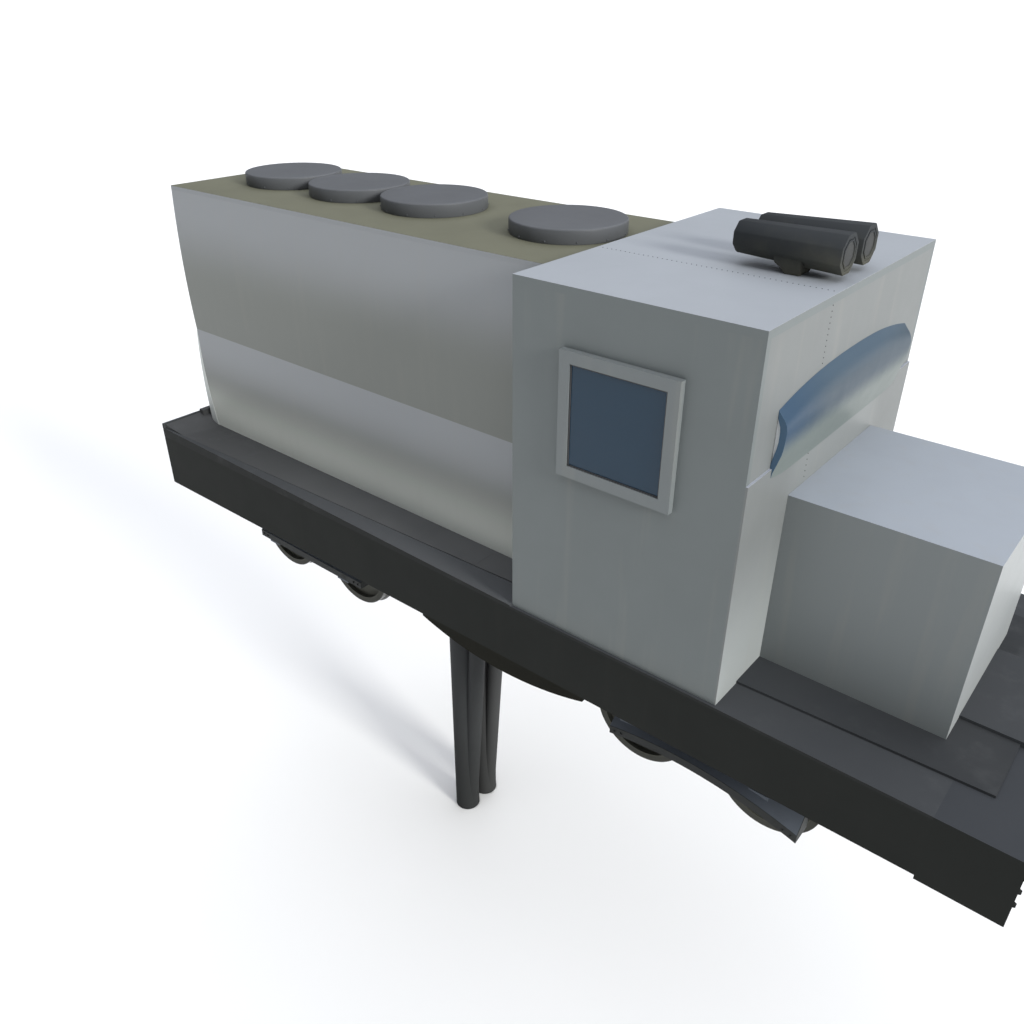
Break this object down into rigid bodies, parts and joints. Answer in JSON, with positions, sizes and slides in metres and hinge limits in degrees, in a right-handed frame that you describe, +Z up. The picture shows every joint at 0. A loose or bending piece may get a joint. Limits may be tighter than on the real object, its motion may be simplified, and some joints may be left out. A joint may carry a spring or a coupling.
{
  "type": "four-axle diesel locomotive on two posts",
  "caption": "Hood-type diesel locomotive with a full-width cab, low nose and swivelling two-axle bogies, held above the ground on two posts.",
  "frame": {"origin": "on the centre line, midway between the feet of the two posts, at their lower ends", "axes": "+X forward towards the nose, +Y to the left, +Z up"},
  "size_m": [10.46, 3.11, 8.094],
  "materials": {
    "frame_black": "satin black paint, dusty",
    "deck_grey": "worn non-slip deck paint",
    "walkway_dark": "dark non-slip paint",
    "hood_grey": "semi-gloss grey paint, dustier low down",
    "roof_olive": "flat olive grey paint",
    "fan_grey": "satin grey paint",
    "engine_iron": "painted cast iron",
    "cab_grey": "semi-gloss grey paint",
    "cab_roof_pale": "pale grey paint",
    "window_frame_grey": "semi-gloss grey paint",
    "dark_glass": "dark tinted glass",
    "blue_glass": "blue tinted glass",
    "lamp_black": "satin black paint",
    "tank_dark": "satin black paint, dusty",
    "post_grey": "matt dark grey paint",
    "floor_dark": "ribbed rubber mat",
    "stand_grey": "textured grey paint",
    "seat_black": "black vinyl",
    "bogie_iron": "dusty cast steel",
    "wheel_steel": "rolled steel, rusty discs, bright treads",
    "coupler_iron": "rough cast steel"
  },
  "bodies": {
    "frame": {"deck_plate": "deck_grey", "side_sill_right": "frame_black", "side_sill_left": "frame_black", "rear_end_beam": "frame_black", "front_pilot": "frame_black", "bolsters": "frame_black", "centre_sill": "frame_black", "walkway_right": "walkway_dark", "walkway_left": "walkway_dark", "centre_plate": "deck_grey", "hood_side_right": "hood_grey", "hood_side_left": "hood_grey", "hood_rear_wall": "hood_grey", "hood_roof": "roof_olive", "roof_fans": "fan_grey", "engine_block": "engine_iron", "cab_side_right": "cab_grey", "side_window_right": "window_frame_grey", "cab_side_left": "cab_grey", "side_window_left": "window_frame_grey", "side_glass": "dark_glass", "cab_front": "cab_grey", "cab_roof": "cab_roof_pale", "cab_floor": "floor_dark", "cab_rear_wall": "cab_grey", "windshield": "blue_glass", "nose_shell": "cab_grey", "roof_lamp_right": "lamp_black", "roof_lamp_left": "lamp_black", "fuel_tank": "tank_dark", "posts": "post_grey", "control_stand": "stand_grey", "driver_seat": "seat_black"},
    "door_right": {"cab_door_right": "cab_grey", "door_glass_right": "dark_glass"},
    "door_left": {"cab_door_left": "cab_grey", "door_glass_left": "dark_glass"},
    "bogie_frame_rear": {"bogie_rear": "bogie_iron"},
    "bogie_frame_front": {"bogie_front": "bogie_iron"},
    "axle_rear_1": {"wheelset_rear_1": "wheel_steel"},
    "axle_rear_2": {"wheelset_rear_2": "wheel_steel"},
    "axle_front_1": {"wheelset_front_1": "wheel_steel"},
    "axle_front_2": {"wheelset_front_2": "wheel_steel"},
    "coupler_head_rear": {"rear_coupler": "coupler_iron"},
    "coupler_head_front": {"front_coupler": "coupler_iron"}
  },
  "joints": [
    {"name": "rear_bogie_swivel", "type": "hinge", "parent": "frame", "child": "bogie_frame_rear", "pos_m": [-1.66, 0, 4.295], "axis": [0, 0, 1], "range_deg": [-4, 4]},
    {"name": "front_bogie_swivel", "type": "hinge", "parent": "frame", "child": "bogie_frame_front", "pos_m": [3.53, 0, 4.295], "axis": [0, 0, 1], "range_deg": [-4, 4]},
    {"name": "rear_axle_1_spin", "type": "hinge", "parent": "bogie_frame_rear", "child": "axle_rear_1", "pos_m": [-2.295, 0, 3.723], "axis": [0, 1, 0], "continuous": true},
    {"name": "rear_axle_2_spin", "type": "hinge", "parent": "bogie_frame_rear", "child": "axle_rear_2", "pos_m": [-1.025, 0, 3.723], "axis": [0, 1, 0], "continuous": true},
    {"name": "front_axle_1_spin", "type": "hinge", "parent": "bogie_frame_front", "child": "axle_front_1", "pos_m": [2.895, 0, 3.723], "axis": [0, 1, 0], "continuous": true},
    {"name": "front_axle_2_spin", "type": "hinge", "parent": "bogie_frame_front", "child": "axle_front_2", "pos_m": [4.165, 0, 3.723], "axis": [0, 1, 0], "continuous": true},
    {"name": "right_door_swing", "type": "hinge", "parent": "frame", "child": "door_right", "pos_m": [1.884, -1.415, 5.895], "axis": [0, 0, 1], "range_deg": [0, 100]},
    {"name": "left_door_swing", "type": "hinge", "parent": "frame", "child": "door_left", "pos_m": [1.884, 1.415, 5.895], "axis": [0, 0, -1], "range_deg": [0, 100]},
    {"name": "rear_coupler_swing", "type": "hinge", "parent": "frame", "child": "coupler_head_rear", "pos_m": [-3.36, 0, 4.565], "axis": [0, 0, 1], "range_deg": [-8, 8]},
    {"name": "front_coupler_swing", "type": "hinge", "parent": "frame", "child": "coupler_head_front", "pos_m": [5.82, 0, 4.565], "axis": [0, 0, 1], "range_deg": [-8, 8]}
  ]
}
